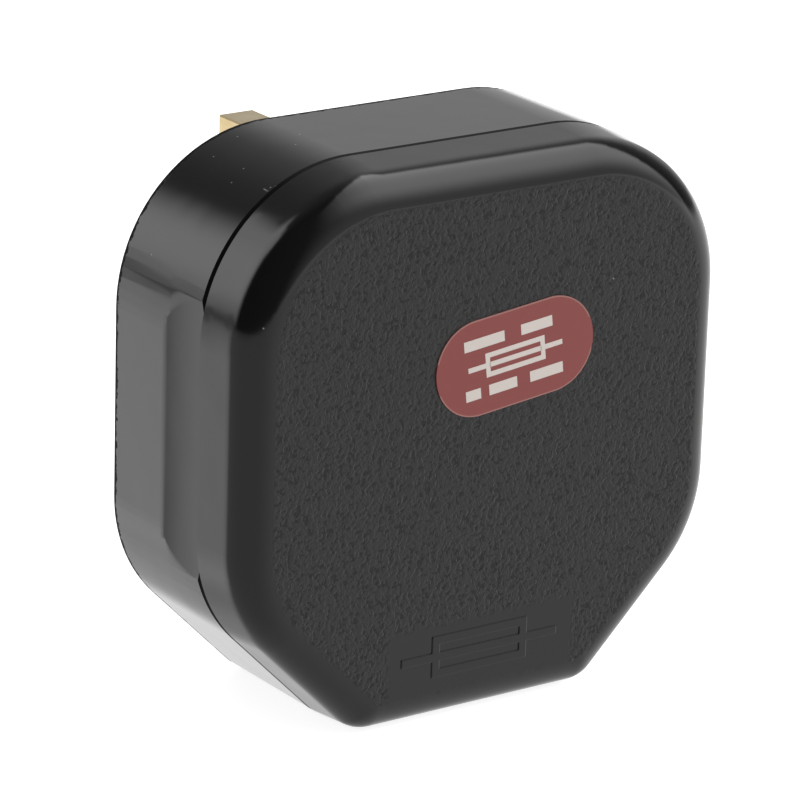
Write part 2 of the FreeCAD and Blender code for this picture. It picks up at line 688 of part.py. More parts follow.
def cord_grip_strap():
    """The bar that clamps the cord, with two ridges on its under side."""
    body = new_body("cord_grip_strap")
    bar = facing(body, "0", GRIP_Z, "post_depth")
    pad(body, stadium(bar, "grip_spacing + strap_width", "strap_width"), "strap_depth")
    for side in ("+", "-"):
        ridge = facing(body, "0", f"{GRIP_Z} {side} ridge_pitch / 2", "post_depth")
        pad(body, rectangle(ridge, "ridge_length", "ridge_width"), "ridge_depth", reverse=True)
    holes = facing(body, "0", GRIP_Z, "post_depth + strap_depth")
    pocket(body, circle_pair(holes, "grip_screw + fit_gap", "grip_spacing"), "strap_depth")
    return body


def cover_screw():
    """The long screw that goes in from the pin face and draws the two halves together."""
    body = new_body("cover_screw")
    place = ("0", "cover_screw_height")
    seat = facing(body, *place, "recess_depth")
    pad(body, circle(seat, "cover_screw_head"), "cover_screw_head_depth", reverse=True)
    shank = facing(body, *place, "recess_depth")
    pad(body, circle(shank, "cover_screw_radius"), "cover_screw_end - recess_depth")
    slot = facing(body, *place, "recess_depth - cover_screw_head_depth")
    pocket(body, rectangle(slot, "2 * cover_screw_head", "slot_width"), "slot_depth", along=True)
    return body


def ring(label, x, z, depth, outer, inner, length):
    """A flat or tall ring whose axis runs front to back."""
    body = new_body(label)
    sketch = facing(body, x, z, depth)
    circle(sketch, outer)
    circle(sketch, inner)
    pad(body, sketch, length)
    return body


def fuse_tube():
    body = new_body("fuse_tube")
    section = level(body, LINE_X, FUSE_DEPTH, "cap_end - fuse_drop")
    circle(section, TUBE_RADIUS)
    circle(section, "tube_bore")
    pad(body, section, "fuse_length - 2 * cap_end")
    return body


def fuse_element():
    body = new_body("fuse_element")
    wire = level(body, LINE_X, FUSE_DEPTH, "cap_end - fuse_drop")
    pad(body, circle(wire, "element_radius"), "fuse_length - 2 * cap_end")
    return body


def fuse_cap(label, low, open_end):
    """A drawn metal cup over one end of the tube; open_end is the height of its open rim."""
    body = new_body(label)
    pad(body, circle(level(body, LINE_X, FUSE_DEPTH, low), "fuse_radius"), "cap_length")
    bore = circle(level(body, LINE_X, FUSE_DEPTH, open_end), TUBE_RADIUS)
    pocket(body, bore, "cap_length - cap_end", along=open_end == low)
    return body


def rating_label():
    """The sticker on the front face, a little off centre and turned as it was stuck on."""
    body = new_body("rating_label")
    sketch = stadium(facing(body, "label_x", "label_z", COVER_FACE), "label_length", "label_height")
    sketch.setExpression(".AttachmentOffset.Rotation.Angle", linked("label_tilt"))
    pad(body, sketch, "label_thickness")
    return body


SCREW_PLACES = [("0", "pin_spacing"), (NEUTRAL_X, "0"), (PILLAR_X, TERMINAL_Z)]
SCREW_AXIS = ("0", "cover_screw_height")
UPPER_CAP_LOW = "fuse_length - fuse_drop - cap_length"

parts = [
    base_half(),
    cover_half(),
    earth_pin(),
    neutral_pin(),
    line_pin(),
    pin_sleeve("neutral_pin_sleeve", NEUTRAL_X),
    pin_sleeve("line_pin_sleeve", LINE_X),
    line_terminal(),
    fuse_clip("fuse_clip_lower", LOWER_CLIP_Z),
    fuse_clip("fuse_clip_upper", TERMINAL_Z),
    several("fuse_clip_rivets", [(LOWER_CLIP_Z,), (TERMINAL_Z,)], rivet),
    fuse_tube(),
    fuse_element(),
    fuse_cap("fuse_cap_lower", "-fuse_drop", "cap_length - fuse_drop"),
    fuse_cap("fuse_cap_upper", UPPER_CAP_LOW, UPPER_CAP_LOW),
    several("terminal_screws", SCREW_PLACES, terminal_screw),
    cord_grip_strap(),
    several("cord_grip_screws", [("-",), ("+",)], grip_screw),
    cover_screw(),
    ring(
        "screw_washer", *SCREW_AXIS, "pillar_top",
        "washer_radius", "cover_screw_radius + fit_gap", "washer_depth",
    ),
    ring(
        "cover_insert", *SCREW_AXIS, WASHER_FACE,
        "insert_radius", "cover_screw_radius + thread_gap", "insert_length",
    ),
    rating_label(),
]

doc.recompute()
for item in doc.Objects:
    if "Invalid" in item.State or "Error" in item.State:
        raise RuntimeError(f"{item.Label} failed to build")
for part in parts:
    if part.Shape.isNull() or not part.Shape.isValid():
        raise RuntimeError(f"{part.Label} has no valid shape")

os.makedirs("parts", exist_ok=True)
for part in parts:
    part.Shape.exportStep(f"parts/{part.Label}.step")
    print(f"{part.Label}: {len(part.Shape.Solids)} solid, {part.Shape.Volume:.1f} cubic mm")
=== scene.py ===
from math import cos, radians, sin

import bpy
from mathutils import Matrix, Vector


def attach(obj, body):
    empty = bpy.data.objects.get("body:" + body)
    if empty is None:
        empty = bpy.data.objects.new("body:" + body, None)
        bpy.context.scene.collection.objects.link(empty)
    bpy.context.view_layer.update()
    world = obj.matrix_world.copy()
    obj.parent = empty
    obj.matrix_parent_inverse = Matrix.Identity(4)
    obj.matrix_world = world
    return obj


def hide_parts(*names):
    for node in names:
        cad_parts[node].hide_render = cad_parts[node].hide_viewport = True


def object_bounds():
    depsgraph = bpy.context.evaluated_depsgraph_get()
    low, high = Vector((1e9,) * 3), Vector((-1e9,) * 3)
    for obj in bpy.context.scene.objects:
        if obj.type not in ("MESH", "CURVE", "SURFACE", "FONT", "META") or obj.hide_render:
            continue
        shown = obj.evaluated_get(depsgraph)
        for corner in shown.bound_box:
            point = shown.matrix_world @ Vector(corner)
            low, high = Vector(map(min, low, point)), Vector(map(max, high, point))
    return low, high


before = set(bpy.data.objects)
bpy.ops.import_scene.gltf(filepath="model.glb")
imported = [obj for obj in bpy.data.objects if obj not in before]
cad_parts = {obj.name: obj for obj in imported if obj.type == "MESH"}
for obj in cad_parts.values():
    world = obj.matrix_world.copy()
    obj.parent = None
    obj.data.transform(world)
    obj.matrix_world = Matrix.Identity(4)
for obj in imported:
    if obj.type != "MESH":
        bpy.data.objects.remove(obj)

cad_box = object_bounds()


# Base: the half that carries the pins, a deep tray with a finger scoop along each side.
# It is black phenolic resin pressed in a polished mould: glossy walls with a faint ripple.
# Its forward-facing rim carries painted shade: its sheen is lowered at the joint, fully in the
# upper part and fading out towards the foot.
# The ragged flash at its rear edge is dull, and dust lies on its upper corner.

MM = 0.001
PHENOLIC_BLACK = "#161616"
PHENOLIC_IOR = 1.6
POLISH = 0.12
GLOSS = 0.5
# DULL is the sheen of the dull flash and of the painted shade at the joint.
DULL = 0.08
RIPPLE_SPACING = 6 * MM
RIPPLE_HEIGHT = 0.03 * MM
DUST_GREY = "#94928C"
SPECK_RADIUS = 0.1 * MM
SPECK_CORE = 0.4 * SPECK_RADIUS
SPECKS = [
    (-11.64, -6.3, 32.5), (-13.59, -8.58, 32.36), (-18.92, -8.06, 30.67),
    (-15.87, -2.27, 31.88), (-19.04, -3.15, 30.61), (-20.54, -8.58, 29.7),
    (-26.32, -4.22, 22.51), (-19.18, -13.82, 30.46), (-19.9, -13.02, 30.12),
    (-19.91, -13.2, 30.1), (-19.91, -13.36, 30.09), (-19.91, -13.53, 30.07),
    (-19.91, -13.7, 30.05), (-19.51, -13.49, 30.32),
]
FAR = 1.0
RIM_FACING = (-0.1, -0.45)
# Heights between which the painted shade at the joint fades out towards the foot.
JOINT_SHADE_END = -16 * MM
JOINT_SHADE_FULL = -6 * MM
FLASH_LENGTH = 0.6 * MM
FLASH_WIDTH = 0.9 * MM
FLASH_FADE = 0.1 * MM
FLASH_POLISH = 0.55
PIN_FACE_FACING = (0.95, 0.8)
WELD = 0.001 * MM
LEVEL = radians(1)
SQUARE = radians(60)
ROUND_BELOW = radians(40)
BASE_RINGS = [0.4, 8.1, 8.9, 13.75]


def linear(code):
    """The linear colour, with its alpha, of an sRGB hex value."""
    parts = [int(code[i:i + 2], 16) / 255 for i in (1, 3, 5)]
    return [p / 12.92 if p <= 0.04045 else ((p + 0.055) / 1.055) ** 2.4 for p in parts] + [1.0]


def feed(node, inputs):
    """Sets the sockets of a shader node; a value is plain or the output socket that feeds it."""
    for name, value in inputs.items():
        if isinstance(value, bpy.types.NodeSocket):
            node.id_data.links.new(value, node.inputs[name])
        else:
            node.inputs[name].default_value = value


def add(tree, kind, inputs, **settings):
    """Adds one shader node with its settings and inputs."""
    node = tree.nodes.new("ShaderNode" + kind)
    for name, value in settings.items():
        setattr(node, name, value)
    feed(node, inputs)
    return node


def new_finish(name):
    """A new material, its node tree, its shader and its texture coordinates."""
    material = bpy.data.materials.new(name)
    material.use_nodes = True
    tree = material.node_tree
    return material, tree, tree.nodes["Principled BSDF"], add(tree, "TexCoord", {}).outputs


def smooth_copy(node, name, material, rings=()):
    """A welded copy of a solid whose round edges shade smoothly, cut into rings at some depths."""
    piece = bpy.data.objects.new(name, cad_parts[node].data.copy())
    bpy.context.scene.collection.objects.link(piece)
    bpy.ops.object.select_all(action="DESELECT")
    piece.select_set(True)
    bpy.context.view_layer.objects.active = piece
    bpy.ops.object.mode_set(mode="EDIT")
    bpy.ops.mesh.select_all(action="SELECT")
    bpy.ops.mesh.customdata_custom_splitnormals_clear()
    bpy.ops.mesh.remove_doubles(threshold=WELD)
    bpy.ops.mesh.tris_convert_to_quads(face_threshold=LEVEL, shape_threshold=SQUARE)
    for depth in rings:
        bpy.ops.mesh.select_all(action="SELECT")
        bpy.ops.mesh.bisect(plane_co=(0, -depth * MM, 0), plane_no=(0, 1, 0))
    bpy.ops.object.mode_set(mode="OBJECT")
    bpy.ops.object.shade_smooth_by_angle(angle=ROUND_BELOW)
    flat_first = piece.modifiers.new("flat faces first", "WEIGHTED_NORMAL")
    flat_first.keep_sharp = True
    bpy.ops.object.modifier_apply(modifier=flat_first.name)
    piece.data.materials.clear()
    piece.data.materials.append(material)
    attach(piece, "root")
    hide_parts(node)


def phenolic(name, specks=()):
    """Pressed phenolic resin: deep black and glossy, with a faint ripple and specks of dust."""
    material, tree, shader, coordinates = new_finish(name)
    place = coordinates["Object"]
    waves = {"Vector": place, "Scale": 1 / RIPPLE_SPACING, "Detail": 1.0}
    ripple = add(tree, "TexNoise", waves).outputs["Fac"]
    relief = add(tree, "Bump", {"Height": ripple, "Distance": RIPPLE_HEIGHT}).outputs[0]
    colour = linear(PHENOLIC_BLACK)
    nearest = FAR
    for speck in specks:
        ends = {0: place, 1: Vector(speck) * MM}
        away = add(tree, "VectorMath", ends, operation="DISTANCE").outputs["Value"]
        nearest = add(tree, "Math", {0: away, 1: nearest}, operation="MINIMUM").outputs[0]
    if specks:
        edge = {"Value": nearest, "From Min": SPECK_RADIUS, "From Max": SPECK_CORE}
        dusty = add(tree, "MapRange", edge).outputs[0]
        colours = {0: dusty, 6: colour, 7: linear(DUST_GREY)}
        colour = add(tree, "Mix", colours, data_type="RGBA").outputs[2]
    feed(shader, {"Base Color": colour, "Roughness": POLISH})
    feed(shader, {"IOR": PHENOLIC_IOR, "Normal": relief})
    return material, tree, shader, coordinates, relief


material, tree, shader, coordinates, _ = phenolic("polished phenolic resin", SPECKS)
facing = add(tree, "SeparateXYZ", {"Vector": coordinates["Normal"]}).outputs["Y"]
spot = add(tree, "SeparateXYZ", {"Vector": coordinates["Object"]}).outputs
# Painted shade at the joint: the forward-facing rim loses its sheen, fully in the upper part and
# fading out towards the foot.
forward = {"Value": facing, "From Min": RIM_FACING[0], "From Max": RIM_FACING[1]}
rim = add(tree, "MapRange", forward).outputs[0]
height = {"Value": spot["Z"], "From Min": JOINT_SHADE_END, "From Max": JOINT_SHADE_FULL}
upper = add(tree, "MapRange", height).outputs[0]
painted_joint_shade = add(tree, "Math", {0: rim, 1: upper}, operation="MULTIPLY").outputs[0]
waves = {"Vector": coordinates["Object"], "Scale": 1 / FLASH_LENGTH}
uneven = add(tree, "TexNoise", waves).outputs["Fac"]
reach = {0: uneven, 1: FLASH_WIDTH, 2: spot["Y"]}
ragged = add(tree, "Math", reach, operation="MULTIPLY_ADD").outputs[0]
near_rear = add(tree, "MapRange", {"Value": ragged, "From Max": FLASH_FADE}).outputs[0]
backward = {"Value": facing, "From Min": PIN_FACE_FACING[0], "From Max": PIN_FACE_FACING[1]}
off_pin_face = add(tree, "MapRange", backward).outputs[0]
flash = add(tree, "Math", {0: near_rear, 1: off_pin_face}, operation="MULTIPLY").outputs[0]
# The painted shade at the joint and the dull flash both lower the sheen; the flash is also
# rougher.
joint_shade_and_flash = add(tree, "Math", {0: painted_joint_shade, 1: flash}, operation="MAXIMUM").outputs[0]
gloss_with_painted_shade = add(tree, "MapRange", {"Value": joint_shade_and_flash, "To Min": GLOSS, "To Max": DULL}).outputs[0]
dulled = {"Value": flash, "To Min": POLISH, "To Max": FLASH_POLISH}
roughness = add(tree, "MapRange", dulled).outputs[0]
feed(shader, {"Specular IOR Level": gloss_with_painted_shade, "Roughness": roughness})
smooth_copy("base", "base_moulding", material, BASE_RINGS)


# Cover: the front half, a shallow lid with a drafted side and a round front edge.
# It is the same phenolic resin, from an etched mould: the front has a fine leathery grain
# that stops short of the round edge and of a smooth panel near the foot.
# The grain's hollows carry painted shade: their sheen is lowered where the grain is low.

GRAIN_SPACING = 0.42 * MM
GRAIN_CURL = 0.5
GRAIN_MIDDLE = 0.5
GRAIN_DEPTH = 0.11 * MM
GRAIN_POLISH = 0.34
# The next two: the sheen of the painted shade in the grain's hollows, and the grain levels over
# which that shade comes in.
HOLLOW_SHADE_GLOSS = 0.34
HOLLOW_SHADE_LIMITS = (0.46, 0.34)
FRONT_FACING = (-0.99, -0.9998)
PANEL_CENTRE = (-0.25 * MM, -15.65 * MM)
PANEL_HALF = (10.6 * MM, 3.35 * MM)
PANEL_FADE = 0.4 * MM
COVER_SPECKS = [(13.68, -22.0, 18.93), (-25.2, -21.43, 20.02)]
COVER_RINGS = [15.2, 18.4]

material, tree, shader, coordinates, relief = phenolic("grained phenolic resin", COVER_SPECKS)
facing = add(tree, "SeparateXYZ", {"Vector": coordinates["Normal"]}).outputs["Y"]
forward = {"Value": facing, "From Min": FRONT_FACING[0], "From Max": FRONT_FACING[1]}
front = add(tree, "MapRange", forward, interpolation_type="SMOOTHSTEP").outputs[0]
spot = add(tree, "SeparateXYZ", {"Vector": coordinates["Object"]}).outputs
reach = []
for axis, centre, half in zip("XZ", PANEL_CENTRE, PANEL_HALF):
    offset = add(tree, "Math", {0: spot[axis], 1: centre}, operation="SUBTRACT").outputs[0]
    away = add(tree, "Math", {0: offset}, operation="ABSOLUTE").outputs[0]
    reach.append(add(tree, "Math", {0: away, 1: half}, operation="SUBTRACT").outputs[0])
outside = add(tree, "Math", {0: reach[0], 1: reach[1]}, operation="MAXIMUM").outputs[0]
past = {"Value": outside, "From Min": -PANEL_FADE, "From Max": PANEL_FADE}
off_panel = add(tree, "MapRange", past, interpolation_type="SMOOTHSTEP").outputs[0]
grained = add(tree, "Math", {0: front, 1: off_panel}, operation="MULTIPLY").outputs[0]
leather = {"Vector": coordinates["Object"], "Scale": 1 / GRAIN_SPACING, "Detail": 1.0}
noise = add(tree, "TexNoise", leather | {"Distortion": GRAIN_CURL}).outputs["Fac"]
# Painted shade in the grain's hollows: where the grain is low, its sheen is lowered.
low = {"Value": noise, "From Min": HOLLOW_SHADE_LIMITS[0], "From Max": HOLLOW_SHADE_LIMITS[1]}
low = add(tree, "MapRange", low, interpolation_type="SMOOTHSTEP").outputs[0]
painted_hollow_shade = add(tree, "Math", {0: low, 1: grained}, operation="MULTIPLY").outputs[0]
level = add(tree, "Math", {0: noise, 1: GRAIN_MIDDLE}, operation="SUBTRACT").outputs[0]
height = add(tree, "Math", {0: level, 1: grained}, operation="MULTIPLY").outputs[0]
bumps = {"Height": height, "Distance": GRAIN_DEPTH, "Normal": relief}
grain = add(tree, "Bump", bumps).outputs[0]
dulled = {"Value": grained, "To Min": POLISH, "To Max": GRAIN_POLISH}
roughness = add(tree, "MapRange", dulled).outputs[0]
shaded = {"Value": painted_hollow_shade, "To Min": GLOSS, "To Max": HOLLOW_SHADE_GLOSS}
gloss_with_painted_shade = add(tree, "MapRange", shaded).outputs[0]
feed(shader, {"Roughness": roughness, "Specular IOR Level": gloss_with_painted_shade, "Normal": grain})
smooth_copy("cover", "cover_moulding", material, COVER_RINGS)


# Fuse mark: a raised sign on the cover's smooth panel, a box with a wire through it.
# It is moulded in one with the cover, of the same black resin, a tenth of a millimetre proud.
# Its softened edges catch a thin line of light.

MARK_CENTRE = Vector((-0.4, -22.0, -15.4)) * MM
MARK_BOX = (11.0 * MM, 4.2 * MM)
MARK_WIRE = (18.0 * MM, 0.9 * MM)
MARK_LINE = 0.9 * MM
MARK_PROUD = 0.12 * MM
MARK_ROOT = 0.1 * MM
MARK_SOFT = 0.09 * MM
MARK_SOFT_STEPS = 2
UPRIGHT = radians(-90)


def flat_piece(name, across, up, centre):
    """A flat rectangle on the front face, left in edit mode."""
    bpy.ops.object.select_all(action="DESELECT")
    bpy.ops.mesh.primitive_plane_add(size=1.0)
    piece = bpy.context.active_object
    piece.name = name
    bpy.ops.object.mode_set(mode="EDIT")
    bpy.ops.transform.resize(value=(across, up, 1))
    bpy.ops.transform.rotate(value=UPRIGHT, orient_axis="X", center_override=(0, 0, 0))
    bpy.ops.transform.translate(value=centre)
    return piece


def raise_up(depth):
    """Extrudes the flat faces in edit mode towards the front and leaves edit mode."""
    bpy.ops.mesh.select_all(action="SELECT")
    bpy.ops.mesh.extrude_region_move(TRANSFORM_OT_translate={"value": (0, -depth, 0)})
    bpy.ops.mesh.select_all(action="SELECT")
    bpy.ops.mesh.normals_make_consistent(inside=False)
    bpy.ops.object.mode_set(mode="OBJECT")


root = MARK_CENTRE + Vector((0, MARK_ROOT, 0))
wire = flat_piece("fuse_mark_wire", *MARK_WIRE, root)
raise_up(MARK_PROUD + MARK_ROOT)
mark = flat_piece("fuse_mark", *MARK_BOX, root)
bpy.ops.mesh.inset(thickness=MARK_LINE)
bpy.ops.mesh.delete(type="FACE")
raise_up(MARK_PROUD + MARK_ROOT)
joined = mark.modifiers.new("wire through the box", "BOOLEAN")
joined.operation = "UNION"
joined.object = wire
bpy.context.view_layer.objects.active = mark
bpy.ops.object.modifier_apply(modifier=joined.name)
bpy.data.objects.remove(wire)
soft = mark.modifiers.new("softened edges", "BEVEL")
soft.width = MARK_SOFT
soft.segments = MARK_SOFT_STEPS
bpy.ops.object.modifier_apply(modifier=soft.name)
mark.data.materials.append(phenolic("moulded phenolic mark")[0])
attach(mark, "root")


# Pins and terminals: drawn brass bar, milled at the tips, drilled and tapped at the heads.
# The draw lines run along the pins, and their faces have a thin warm tarnish.

BRASS = "#D8C8A4"
BRASS_TARNISH = "#CCB688"
BRASS_POLISH = (0.28, 0.34)
DRAW_LINES = (0.25 * MM, 6 * MM, 0.25 * MM)
TARNISH_PATCH = 2.5 * MM
CLOUDS = (0.3, 0.7)


def mottle(tree, place, size, low, high):
    """A cloudy value between two limits; the size is that of a patch, one length or three."""
    if isinstance(size, tuple):
        place = add(tree, "VectorMath", {0: place, 1: size}, operation="DIVIDE").outputs["Vector"]
        size = 1.0
    patches = {"Vector": place, "Scale": 1 / size, "Detail": 2.0}
    cloudy = add(tree, "TexNoise", patches).outputs["Fac"]
    limits = {"Value": cloudy, "From Min": CLOUDS[0], "From Max": CLOUDS[1]}
    return add(tree, "MapRange", limits | {"To Min": low, "To Max": high}).outputs[0]


def paint(material, *nodes):
    """Gives one finish to solids that keep their own mesh."""
    for node in nodes:
        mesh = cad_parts[node].data
        mesh.materials.clear()
        mesh.materials.append(material)


material, tree, shader, coordinates = new_finish("drawn brass")
tarnish = mottle(tree, coordinates["Object"], TARNISH_PATCH, 0.0, 1.0)
colours = {0: tarnish, 6: linear(BRASS), 7: linear(BRASS_TARNISH)}
colour = add(tree, "Mix", colours, data_type="RGBA").outputs[2]
lines = mottle(tree, coordinates["Object"], DRAW_LINES, *BRASS_POLISH)
feed(shader, {"Base Color": colour, "Metallic": 1.0, "Roughness": lines})
for node in ("earth_pin", "neutral_pin", "line_pin"):
    smooth_copy(node, node + "_bar", material)
paint(material, "line_terminal", "terminal_screws", "cover_insert")


# Sleeves: the insulating collars at the roots of the line and neutral pins.
# They are moulded black nylon, satin, shrunk into a groove of the bar.

NYLON_BLACK = "#1B1B1D"
NYLON_PATCH = 0.6 * MM
NYLON_POLISH = (0.38, 0.5)

material, tree, shader, coordinates = new_finish("moulded nylon")
satin = mottle(tree, coordinates["Object"], NYLON_PATCH, *NYLON_POLISH)
feed(shader, {"Base Color": linear(NYLON_BLACK), "Roughness": satin})
for node in ("neutral_pin_sleeve", "line_pin_sleeve"):
    smooth_copy(node, node + "_moulding", material)


# Fuse clips: two strips of phosphor bronze bent round the fuse's caps.
# Each is riveted to its terminal; rolling left fine lines along the strip.

BRONZE = "#C08A58"
BRONZE_POLISH = (0.22, 0.36)
ROLL_LINES = (3 * MM, 3 * MM, 0.2 * MM)

material, tree, shader, coordinates = new_finish("rolled phosphor bronze")
rolled = mottle(tree, coordinates["Object"], ROLL_LINES, *BRONZE_POLISH)
feed(shader, {"Base Color": linear(BRONZE), "Metallic": 1.0, "Roughness": rolled})
paint(material, "fuse_clip_lower", "fuse_clip_upper", "fuse_clip_rivets")


# Fuse: a fired ceramic tube with a wire inside and a pressed cap on each end.
# The tube is matt and a little grainy, the caps and the wire are nickel plated.

CERAMIC = "#E4DECF"
CERAMIC_GRAIN = 0.3 * MM
CERAMIC_POLISH = (0.55, 0.75)
NICKEL = "#CFCBC2"
NICKEL_PATCH = 0.8 * MM
NICKEL_POLISH = (0.16, 0.26)

material, tree, shader, coordinates = new_finish("fired ceramic")
grains = mottle(tree, coordinates["Object"], CERAMIC_GRAIN, *CERAMIC_POLISH)
feed(shader, {"Base Color": linear(CERAMIC), "Roughness": grains})
paint(material, "fuse_tube")

material, tree, shader, coordinates = new_finish("nickel plate")
plated = mottle(tree, coordinates["Object"], NICKEL_PATCH, *NICKEL_POLISH)
feed(shader, {"Base Color": linear(NICKEL), "Metallic": 1.0, "Roughness": plated})
paint(material, "fuse_cap_lower", "fuse_cap_upper", "fuse_element")


# Cord grip and washer: a strap over the cord way and a captive washer on the cover screw.
# Both are punched from vulcanised fibre, red-brown, matt and slightly fibrous along its length.

FIBRE = "#6A3A22"
FIBRE_DARK = "#4E2918"
FIBRE_STRANDS = (2.5 * MM, 0.2 * MM, 0.2 * MM)
FIBRE_POLISH = 0.7

material, tree, shader, coordinates = new_finish("vulcanised fibre")
strands = mottle(tree, coordinates["Object"], FIBRE_STRANDS, 0.0, 1.0)
colours = {0: strands, 6: linear(FIBRE), 7: linear(FIBRE_DARK)}
colour = add(tree, "Mix", colours, data_type="RGBA").outputs[2]
feed(shader, {"Base Color": colour, "Roughness": FIBRE_POLISH})
paint(material, "cord_grip_strap", "screw_washer")


# Steel screws: two that pull the cord grip down and the long one that holds the cover.
# They are turned steel with a bright zinc plate.

ZINC = "#BDBDB8"
ZINC_PATCH = 0.7 * MM
ZINC_POLISH = (0.24, 0.38)

material, tree, shader, coordinates = new_finish("bright zinc plate")
plated = mottle(tree, coordinates["Object"], ZINC_PATCH, *ZINC_POLISH)
feed(shader, {"Base Color": linear(ZINC), "Metallic": 1.0, "Roughness": plated})
smooth_copy("cover_screw", "cover_screw_turned", material)
paint(material, "cord_grip_screws")


# Rating label: a stadium of coated paper stuck to the front, with a faint sheen.
# It is printed dull red to a hair short of its cut edge, so a thin pale line runs round it.
# On it in white ink are a fuse sign and two rows of plain bars.

LABEL_CENTRE = Vector((2.5, -22.12, 13.1)) * MM
LABEL_TURN = radians(6.6)
LABEL_STRAIGHT = 4.3 * MM
LABEL_PRINTED = 4.54 * MM
LABEL_BARE = 4.62 * MM
LABEL_RED = "#8E4845"
LABEL_EDGE = "#A8756F"
PAPER_PATCH = 0.9 * MM
PAPER_POLISH = (0.4, 0.5)
INK_WHITE = "#DCD2CC"
INK_THICKNESS = 0.02 * MM
INK_PATCH = 0.5 * MM
INK_POLISH = (0.45, 0.6)
BARS = [
    (-3.4, 2.4, 4.6, 1.05), (2.6, 2.4, 3.6, 1.05),
    (-5.0, -2.5, 1.7, 1.05), (-1.6, -2.5, 3.2, 1.05), (3.4, -2.5, 3.8, 1.05),
    (-4.4, 0.0, 2.0, 0.5), (4.4, 0.0, 2.0, 0.5), (0.0, 0.0, 5.9, 0.5),
    (0.0, 0.95, 6.8, 0.5), (0.0, -0.95, 6.8, 0.5),
    (-3.15, 0.0, 0.5, 1.4), (3.15, 0.0, 0.5, 1.4),
]

material, tree, shader, coordinates = new_finish("printed label paper")
moved = {"Vector": coordinates["Object"], "Location": LABEL_CENTRE}
moved = moved | {"Rotation": (0, -LABEL_TURN, 0)}
local = add(tree, "Mapping", moved, vector_type="TEXTURE").outputs[0]
spot = add(tree, "SeparateXYZ", {"Vector": local}).outputs
along = add(tree, "Math", {0: spot["X"]}, operation="ABSOLUTE").outputs[0]
past = {"Value": along, "From Min": LABEL_STRAIGHT, "From Max": 2 * LABEL_STRAIGHT}
past = add(tree, "MapRange", past | {"To Max": LABEL_STRAIGHT}).outputs[0]
flat = add(tree, "CombineXYZ", {"X": past, "Z": spot["Z"]}).outputs[0]
out = add(tree, "VectorMath", {0: flat}, operation="LENGTH").outputs["Value"]
cut = {"Value": out, "From Min": LABEL_PRINTED, "From Max": LABEL_BARE}
border = add(tree, "MapRange", cut).outputs[0]
colours = {0: border, 6: linear(LABEL_RED), 7: linear(LABEL_EDGE)}
colour = add(tree, "Mix", colours, data_type="RGBA").outputs[2]
coated = mottle(tree, coordinates["Object"], PAPER_PATCH, *PAPER_POLISH)
feed(shader, {"Base Color": colour, "Roughness": coated})
paint(material, "rating_label")

bpy.ops.object.select_all(action="DESELECT")
bpy.ops.mesh.primitive_plane_add(size=1.0)
print_rows = bpy.context.active_object
print_rows.name = "label_print"
bpy.ops.object.mode_set(mode="EDIT")
bpy.ops.mesh.delete(type="VERT")
for across, up, length, thick in BARS:
    bpy.ops.mesh.select_all(action="DESELECT")
    bpy.ops.mesh.primitive_plane_add(size=1.0)
    bpy.ops.transform.resize(value=(length * MM, thick * MM, 1))
    bpy.ops.transform.translate(value=(across * MM, up * MM, 0))
bpy.ops.mesh.select_all(action="SELECT")
bpy.ops.transform.rotate(value=UPRIGHT, orient_axis="X", center_override=(0, 0, 0))
bpy.ops.transform.rotate(value=LABEL_TURN, orient_axis="Y", center_override=(0, 0, 0))
bpy.ops.transform.translate(value=LABEL_CENTRE + Vector((0, 0.5 * INK_THICKNESS, 0)))
raise_up(INK_THICKNESS)
material, tree, shader, coordinates = new_finish("white printing ink")
inked = mottle(tree, coordinates["Object"], INK_PATCH, *INK_POLISH)
feed(shader, {"Base Color": linear(INK_WHITE), "Roughness": inked})
print_rows.data.materials.append(material)
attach(print_rows, "root")


# Stage: a white table, a soft lamp and the pale studio round the plug.
# What the glossy resin reflects is drawn by direction: a window behind on the left, its shine on
# the table, a softbox above on the right and a pale wall behind, with the rest of the room dark.

FLOOR_SIZE = 6.0
FLOOR_WHITE = "#F4F4F2"
FLOOR_POLISH = 0.9
FLOOR_GLOW = "#FFFFFF"
FLOOR_LIFT = 0.85
FLOOR_GAP = 0.01 * MM
FILL = 0.6
WINDOW = ((17, 30, 48, 64), (-3.5, 4, 46, 58), 1.85)
WINDOW_FOOT = (0, 13)
WINDOW_FOOT_LEVEL = 0.72
WINDOW_MIDDLE = (43, 20, 0, 18, 0.35)
TABLE_EDGE = (0, -4.5)
TABLE_SPREAD = (-0.6, 0.95, 0.55, 0.95)
TABLE_SHINE = ((-38, -18, 40, 54), (-42, -32, -6, -1), 0.6)
TABLE_MIDDLE = (33, -16, 0, 21, 0.62)
TABLE_RIGHT = (-95, -15, 0, 40, 0.4)
TABLE_NEAR = (18, -34, 4, 24, 0.4)
WALL = [(-46, 2, 0, 40, 0.48), (-46, 2, 20, 65, 0.25), (0, 36, 0, 55, 0.16)]
ROOM_EDGE = (-9, -1)
ROOM_RIGHT = 0.6
SOFTBOX = (-44, 52, 45, 90, 1.8)
SOFTBOX_LEFT = (-0.25, 0.5)
SOFTBOX_FLAPS = [(1.5, -0.02, 0.06), (-2.1, 1.6, 0.08)]
LAMP_SIZE = 0.6
LAMP_POWER = 5.0
LAMP_PLACE = (0.5, -0.45, 0.65)

